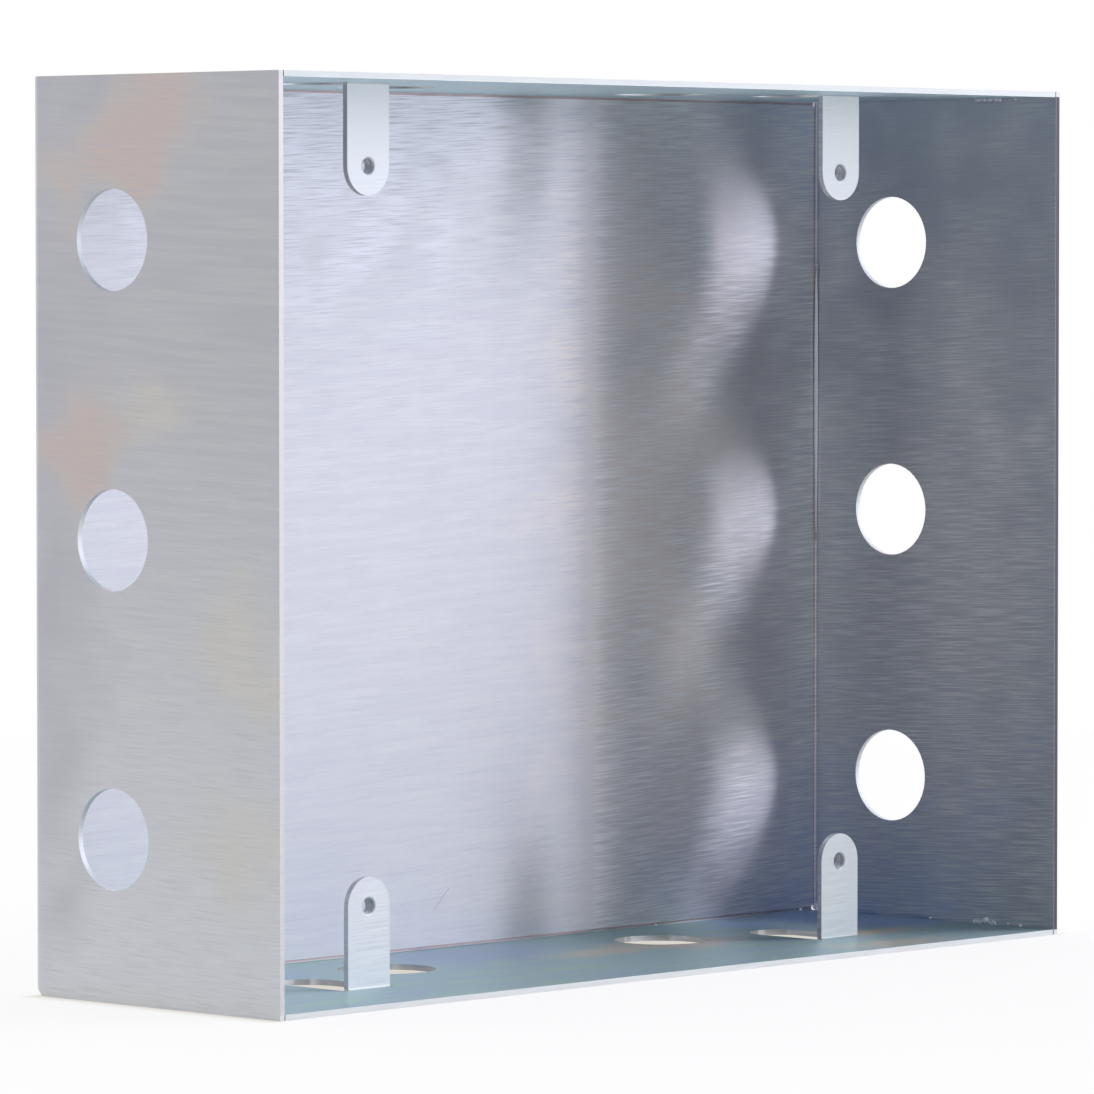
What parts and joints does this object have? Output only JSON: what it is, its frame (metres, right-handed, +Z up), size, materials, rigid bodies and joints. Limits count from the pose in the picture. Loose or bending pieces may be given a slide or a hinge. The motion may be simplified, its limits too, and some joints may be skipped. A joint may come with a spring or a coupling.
{
  "type": "flush back box",
  "caption": "Open-fronted rectangular wall box folded from zinc plated sheet steel, with round conduit entries in its walls and tapped tabs for the screws of a front plate.",
  "frame": {"origin": "on the underside, below the middle of the box", "axes": "+X across the box to the right seen from the open front, +Y from the open front to the back, +Z up"},
  "size_m": [0.241, 0.071, 0.186],
  "materials": {
    "zinc_plated_steel": "zinc plated over fine rolled grain, clear blue passivated"
  },
  "bodies": {
    "root": {"back_box": "zinc_plated_steel"}
  },
  "joints": []
}
